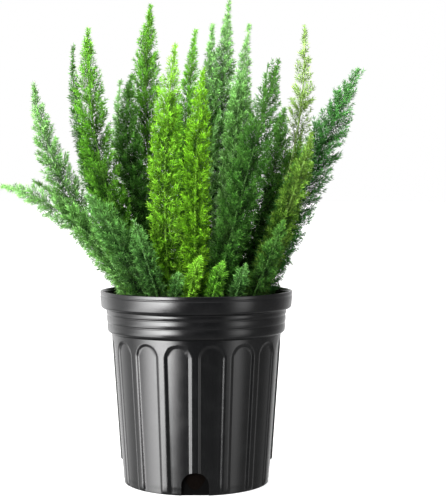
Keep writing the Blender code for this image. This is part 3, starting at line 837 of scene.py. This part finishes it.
def stem_line(foot, middle, tip):
    """Points, directions and two directions across, evenly spaced along the bent stem."""
    t = np.linspace(0, 1, LINE_POINTS)[:, None]
    control = 2 * middle - (foot + tip) / 2
    points = foot * (1 - t) ** 2 + control * 2 * t * (1 - t) + tip * t * t
    steps = np.linalg.norm(np.diff(points, axis=0), axis=1)
    lengths = np.concatenate([[0], np.cumsum(steps)])
    even = np.linspace(0, lengths[-1], LINE_POINTS)
    points = np.stack([np.interp(even, lengths, points[:, k]) for k in range(3)], axis=1)
    along = unit(np.gradient(points, axis=0))
    across = np.empty_like(points)
    side = np.cross(along[0], (0.0, 1.0, 0.0))
    for i in range(LINE_POINTS):
        side = side - along[i] * side.dot(along[i])
        side = side / np.linalg.norm(side)
        across[i] = side
    return {"length": lengths[-1], "even": even, "points": points, "along": along, "across": across}


def read_line(line, distances):
    """The line's points at these distances, its directions there, and two across it."""
    spots, along, across = (
        np.stack([np.interp(distances, line["even"], line[key][:, k]) for k in range(3)], axis=1)
        for key in ("points", "along", "across")
    )
    along, across = unit(along), unit(across)
    return spots, along, across, np.cross(along, across)


def turned(first, second, angles):
    """Directions at these angles from the first direction towards the second."""
    return first * np.cos(angles)[:, None] + second * np.sin(angles)[:, None]


def tubes(starts, bends, ends, radius):
    """Thin tapering tubes from each start by a bend to each end, as points and triangles."""
    sides = 3
    along = unit(ends - starts)
    reference = np.where(np.abs(along[:, [2]]) < 0.9, [[0.0, 0.0, 1.0]], [[1.0, 0.0, 0.0]])
    across = unit(np.cross(along, reference))
    up = np.cross(along, across)
    rings = []
    for spot, width in ((starts, 1.0), (bends, 0.8)):
        for side in range(sides):
            turn = 2 * math.pi * side / sides
            rings.append(spot + (across * math.cos(turn) + up * math.sin(turn)) * (radius * width))
    points = np.stack([*rings, ends], axis=1).reshape(-1, 3)
    base = np.arange(len(starts))[:, None] * (2 * sides + 1)
    faces = []
    for side in range(sides):
        after = (side + 1) % sides
        faces.append(base + [side, after, sides + after])
        faces.append(base + [side, sides + after, sides + side])
        faces.append(base + [sides + side, sides + after, 2 * sides])
    return points, np.concatenate(faces)


def stem_tube(line):
    """The stem's tapering tube, its foot sunk in the soil, and its strip on the flat map."""
    distances = np.linspace(0, line["length"] * STEM_END, STEM_ROWS)
    spots, along, across, up = read_line(line, distances)
    share = (distances / line["length"])[:, None]
    radius = STEM_FOOT_RADIUS + (STEM_TIP_RADIUS - STEM_FOOT_RADIUS) * share
    spots[0] -= along[0] * STEM_SUNK
    points = []
    strip = []
    for row in range(STEM_ROWS):
        for side in range(STEM_SIDES):
            turn = 2 * math.pi * side / STEM_SIDES
            spoke = across[row] * math.cos(turn) + up[row] * math.sin(turn)
            points.append(spots[row] + spoke * radius[row])
            strip.append((row / STEM_ROWS, 0.75 * STEM_STRIP * side / STEM_SIDES))
    strip += [(0.0, STEM_STRIP / 2), (0.99, STEM_STRIP / 2)]
    tip = spots[-1] + along[-1] * STEM_POINT
    points, faces = closed_rings(np.array(points), STEM_SIDES, spots[0], tip)
    return points, faces, np.array(strip)


def needle_kites(roots, directions, lengths, widths, draws):
    """Narrow folded blades: four points and two triangles each."""
    loose = unit(draws.normal(size=roots.shape))
    side = unit(np.cross(directions, loose))
    rise = np.cross(side, directions)
    tips = roots + directions * lengths[:, None]
    belly = roots + directions * (lengths * NEEDLE_BELLY)[:, None] + rise * (widths * NEEDLE_FOLD)[:, None]
    half = side * (widths / 2)[:, None]
    points = np.stack([roots, belly - half, tips, belly + half], axis=1).reshape(-1, 3)
    base = np.arange(len(roots))[:, None] * 4
    return points, np.concatenate([base + [0, 1, 2], base + [0, 2, 3]])


def clear_of_pot(spots):
    """Whether each spot clears the soil and the rim."""
    spread = np.hypot(spots[:, 0], spots[:, 1])
    over_soil = spots[:, 2] > SOIL_TOP + NEEDLES_OVER_SOIL
    above_rim = spots[:, 2] > RIM_TOP + NEEDLES_OFF_RIM
    return over_soil & (above_rim | (spread < INSIDE_RIM_RADIUS - NEEDLES_OFF_RIM))


def cell_spots(first, count, corners, columns):
    """Each small part's own cell on the flat map of the piece, above the stem's strip."""
    number = first + np.arange(count)
    cells = np.stack([number % columns, number // columns], axis=1)[:, None, :]
    spots = (cells + np.array(corners)[None]) / columns
    spots[..., 1] = STEM_STRIP + (1 - STEM_STRIP) * spots[..., 1]
    return spots.reshape(-1, 2)


def set_branchlets(line, reach, fuller, thinly, draws):
    """Branchlets in a spiral, fewer and more upright towards the tip."""
    length = line["length"]
    room = length - BARE_FOOT
    count = int(room / BRANCHLET_PITCH * fuller)
    distance = BARE_FOOT + room * (np.arange(count) + draws.uniform(0.2, 0.8, count)) / count
    turn = np.arange(count) * GOLDEN_TURN + draws.normal(0, TURN_UNEVEN, count)
    fullness = np.interp(distance / length, FULL_PLACES, FULL_SHARES) * thinly
    grown = draws.uniform(0, 1, count) < fullness
    distance, turn = distance[grown], turn[grown]
    share = distance / length
    starts, along, across, up = read_line(line, distance)
    outward = turned(across, up, turn)
    lean = np.radians(BRANCHLET_LEAN - LEAN_LOST_UPWARD * share**2 - LEAN_LOST_AT_TIP * share**8)
    lean = lean + draws.normal(0, LEAN_UNEVEN, len(share))
    heading = turned(along, outward, lean)
    slender = min(1.0, reach / FULL_NEEDLES_REACH)
    needle = NEEDLE_LENGTH * (SHORTEST_NEEDLES + (1 - SHORTEST_NEEDLES) * slender)
    needle = needle * (1 - SHORTER_AT_TIP * share**2)
    wide = reach * (FINE_TIPS * np.interp(share, REACH_PLACES, REACH_SHARES))
    wide = wide * draws.uniform(*REACH_UNEVEN, len(share))
    size = np.maximum((wide - needle * 0.50) / (0.92 * np.sin(lean)), LEAST_BRANCHLET)
    bends = starts + heading * (size * BEND_PLACE)[:, None]
    ends = bends + unit(heading + along * BEND_UPWARD) * (size * (1 - BEND_PLACE))[:, None]
    way = {"along": along, "outward": outward, "starts": starts, "bends": bends, "ends": ends}
    return {**way, "share": share, "size": size, "needle": needle}


def set_needles(twigs, draws):
    """Needles in tufts: the branchlet and place of each, and its root, direction and length."""
    tufts = np.maximum(2, np.round(twigs["size"] / TUFT_PITCH)).astype(int)
    amount = tufts * NEEDLES_IN_TUFT
    owner = np.repeat(np.arange(len(tufts)), amount)
    order = np.arange(len(owner)) - np.repeat(np.cumsum(amount) - amount, amount)
    place = ((order // NEEDLES_IN_TUFT + 0.7) / tufts[owner]) ** CROWDED_OUTWARD
    place = np.clip(place + draws.uniform(-PLACE_UNEVEN, PLACE_UNEVEN, len(owner)), 0.04, 1.0)
    starts, bends, ends, along, outward = (
        twigs[key][owner] for key in ("starts", "bends", "ends", "along", "outward")
    )
    roots = np.where(
        (place < BEND_PLACE)[:, None],
        starts + (bends - starts) * (place / BEND_PLACE)[:, None],
        bends + (ends - bends) * ((place - BEND_PLACE) / (1 - BEND_PLACE))[:, None],
    )
    axis = unit(ends - starts)
    turns = order * GOLDEN_TURN + draws.normal(0, NEEDLE_TURN_UNEVEN, len(owner))
    side = unit(np.cross(axis, outward + 0.31 * along + 1e-3))
    over = np.cross(axis, side)
    opening = np.radians(NEEDLE_OPENING - OPENING_LOST_OUTWARD * place)
    opening = opening + draws.normal(0, OPENING_UNEVEN, len(owner))
    directions = unit(turned(axis, turned(side, over, turns), opening))
    lengths = twigs["needle"][owner] * draws.uniform(*LENGTHS_UNEVEN, len(owner))
    lengths = lengths * (1 - SHORTER_OUTWARD * place)
    clear = clear_of_pot(roots + directions * lengths[:, None]) & clear_of_pot(roots)
    return [rows[clear] for rows in (owner, place, roots, directions, lengths)]


def mark_growth(plume, stem_points, share, owner, place, draws):
    """Marks how far along and outward each point is, and the needle's own tone."""
    own_tone = 1 - TONE_OF_BRANCHLET
    tone = draws.uniform(0, 1, len(share))[owner] * TONE_OF_BRANCHLET
    tone = tone + draws.uniform(0, 1, len(owner)) * own_tone
    stem = np.zeros((stem_points, 3))
    corners = len(TUBE_OUTWARD)
    middling = np.full(corners * len(share), 0.5)
    twigs = np.stack([np.repeat(share, corners), np.tile(TUBE_OUTWARD, len(share)), middling], axis=1)
    corners = len(BLADE_OUTWARD)
    outward = np.repeat(INNERMOST_NEEDLE + OUTERMOST_NEEDLE * place, corners)
    outward = np.clip(outward + np.tile(BLADE_OUTWARD, len(place)), 0, 1)
    blades = np.stack([np.repeat(share[owner], corners), outward, np.repeat(tone, corners)], axis=1)
    marks = np.concatenate([stem, twigs, blades])
    growth = np.column_stack([marks, np.ones(len(marks))]).astype(np.float32)
    mark = plume.data.attributes.new("growth", "FLOAT_COLOR", "POINT")
    mark.data.foreach_set("color", growth.ravel())


def plume_finishes(name, greens, tones, flecks):
    foot_shade = LIT_TO_THE_FOOT if name in FRONT_STEMS else SHADED_FOOT
    leafy = needle_material(name + "_needles", tones, greens, foot_shade)
    stem_green = tuple(0.5 * (a + b) for a, b in zip(greens[1], greens[2]))
    return [stem_material(name + "_stem", flecks, stem_green), leafy]


def grow_plume(name, row, tones, flecks, draws):
    foot, middle, tip, reach = (np.array(value) / 1000 for value in row[:4])
    wider, fuller, greens = row[4:]
    line = stem_line(np.append(foot, SOIL_TOP), middle, tip)
    twigs = set_branchlets(line, reach * wider, fuller, THINLY_SET.get(name, 1.0), draws)
    owner, place, roots, directions, lengths = set_needles(twigs, draws)
    widths = NEEDLE_WIDTH * draws.uniform(*WIDTHS_UNEVEN, len(owner))
    stem_points, stem_faces, strip = stem_tube(line)
    twig_points, twig_faces = tubes(twigs["starts"], twigs["bends"], twigs["ends"], BRANCHLET_RADIUS)
    blade_points, blade_faces = needle_kites(roots, directions, lengths, widths, draws)
    twig_faces = twig_faces + len(stem_points)
    blade_faces = blade_faces + len(stem_points) + len(twig_points)
    faces = np.concatenate([stem_faces, twig_faces, blade_faces])
    green = np.arange(len(faces)) >= len(stem_faces)
    share = twigs["share"]
    columns = math.ceil(math.sqrt(len(share) + len(owner)))
    twig_cells = cell_spots(0, len(share), TUBE_CELL, columns)
    blade_cells = cell_spots(len(share), len(owner), BLADE_CELL, columns)
    plume = mesh_object(
        name + "_leafy",
        np.concatenate([stem_points, twig_points, blade_points]),
        faces,
        plume_finishes(name, greens, tones, flecks),
        green,
        flat_spots=np.concatenate([strip, twig_cells, blade_cells]),
    )
    mark_growth(plume, len(stem_points), share, owner, place, draws)
    dress(plume, name)


# Studio

def set_camera():
    """Seen from 1.5 m away and a little above the pot's rim."""
    lens = bpy.data.cameras.new("camera")
    lens.lens = LENS
    lens.clip_end = FARTHEST
    camera = bpy.data.objects.new("camera", lens)
    camera.location = CAMERA_PLACE
    camera.rotation_euler = (math.radians(90 - CAMERA_TILT), 0, 0)
    bpy.context.collection.objects.link(camera)
    bpy.context.scene.camera = camera


def area_light(name, azimuth, height, distance, width, tall, watts):
    """A soft panel facing the plant; azimuth 0 is beside the camera and grows to the right."""
    light = bpy.data.lights.new(name, "AREA")
    light.shape = "RECTANGLE"
    light.size = width
    light.size_y = tall
    light.energy = watts
    panel = bpy.data.objects.new(name, light)
    turn = math.radians(azimuth)
    panel.location = (distance * math.sin(turn), -distance * math.cos(turn), height)
    aim = Vector(PANELS_AIM) - panel.location
    panel.rotation_euler = aim.to_track_quat("-Z", "Y").to_euler()
    panel.visible_camera = False
    panel.visible_glossy = False
    bpy.context.collection.objects.link(panel)


def light_by_turn(tree, turn):
    ramp = tree.nodes.new("ShaderNodeValToRGB")
    tree.links.new(remap(tree, turn, -math.pi, math.pi, 0, 1), ramp.inputs[0])
    stops = ramp.color_ramp.elements
    stops.remove(stops[1])
    for index, (degrees, brightness) in enumerate(ROOM_LIGHT):
        stop = stops.new((degrees + 180) / 360) if index else stops[0]
        level = brightness / BRIGHTEST
        stop.color = (level, level, level, 1)
    return math_node(tree, "MULTIPLY", ramp.outputs[0], BRIGHTEST)


def room_light(tree):
    """A dim room with a tall soft box on the plant's left, a window on its right, and pale walls."""
    where = tree.nodes.new("ShaderNodeTexCoord")
    parts = tree.nodes.new("ShaderNodeSeparateXYZ")
    tree.links.new(where.outputs["Generated"], parts.inputs[0])
    rightward, backward, height = parts.outputs
    turn = math_node(tree, "ARCTAN2", rightward, math_node(tree, "MULTIPLY", backward, -1.0))
    low = remap(tree, height, *LOW_DOWN)
    leftward = math_node(tree, "MULTIPLY", low, remap(tree, turn, *BOX_SHIFT))
    walls = light_by_turn(tree, math_node(tree, "ADD", turn, leftward))
    walls = math_node(tree, "MULTIPLY", walls, remap(tree, height, *WALLS_UPWARD))
    walls = math_node(tree, "MULTIPLY", walls, remap(tree, low, *LOW_WALLS))
    walls = math_node(tree, "MULTIPLY", walls, remap(tree, height, *WALLS_DOWNWARD))
    room = math_node(tree, "ADD", walls, remap(tree, height, *CEILING))
    room = math_node(tree, "ADD", room, math_node(tree, "MULTIPLY", low, LOW_GLOW))
    return math_node(tree, "ADD", room, remap(tree, height, *GROUND))


def set_world():
    """White to the eye, and the room's light to the plant."""
    world = bpy.data.worlds.new("studio")
    world.use_nodes = True
    tree = world.node_tree
    tree.nodes.clear()
    dim = tree.nodes.new("ShaderNodeBackground")
    tree.links.new(room_light(tree), dim.inputs["Strength"])
    white = tree.nodes.new("ShaderNodeBackground")
    white.inputs["Strength"].default_value = 1.0
    white.inputs["Color"].default_value = (1, 1, 1, 1)
    out = tree.nodes.new("ShaderNodeOutputWorld")
    tree.links.new(seen_or_felt(tree, dim.outputs[0], white.outputs[0]), out.inputs["Surface"])
    bpy.context.scene.world = world


def seen_or_felt(tree, felt, seen):
    """One shader where the camera looks straight at it, and another for all other light."""
    path = tree.nodes.new("ShaderNodeLightPath")
    return mix_shaders(tree, path.outputs["Is Camera Ray"], felt, seen)


def set_floor():
    """A pale floor, brightened to the eye, with a soft shadow under the pot."""
    made, tree, shader = new_material("pale_floor", FLOOR_GREY, 0.9)
    shader.inputs["Specular IOR Level"].default_value = 0.0
    glow = tree.nodes.new("ShaderNodeEmission")
    glow.inputs["Strength"].default_value = FLOOR_BRIGHTENED
    both = tree.nodes.new("ShaderNodeAddShader")
    tree.links.new(shader.outputs[0], both.inputs[0])
    tree.links.new(glow.outputs[0], both.inputs[1])
    surface = seen_or_felt(tree, shader.outputs[0], both.outputs[0])
    tree.links.new(surface, tree.nodes["Material Output"].inputs["Surface"])
    bpy.ops.mesh.primitive_plane_add(size=FLOOR_SIZE, location=(0, 0, -FLOOR_BELOW))
    floor = bpy.context.object
    floor.name = "floor"
    floor.data.materials.append(made)
    floor.visible_glossy = False


def set_studio():
    bpy.context.scene.view_settings.view_transform = "Standard"
    set_camera()
    set_world()
    set_floor()
    for name, panel in PANELS.items():
        area_light(name, *panel)


def main():
    draws = np.random.default_rng(SEED)
    set_studio()
    build_pot(black_plastic(moulded_grain()), slot_shade_finish())
    flecks = irregular_flecks()
    soil = potting_soil(flecks)
    # The soil's buried sides are near black: painted shade, seen through the drain slots.
    soil_shade = plain_bits("soil_painted_shade", flecks, (0.004, 0.003, 0.0025))
    soil_shade.node_tree.nodes["Principled BSDF"].inputs["Specular IOR Level"].default_value = 0.0
    build_soil([soil, soil_shade], draws)
    bark = plain_bits("bark", flecks, (0.090, 0.045, 0.022))
    white = plain_bits("white_grains", flecks, (0.50, 0.48, 0.44))
    build_bits([soil, bark, white], draws)
    tones = needle_tones()
    for name, row in PLUMES.items():
        grow_plume(name, row, tones, flecks, draws)


main()
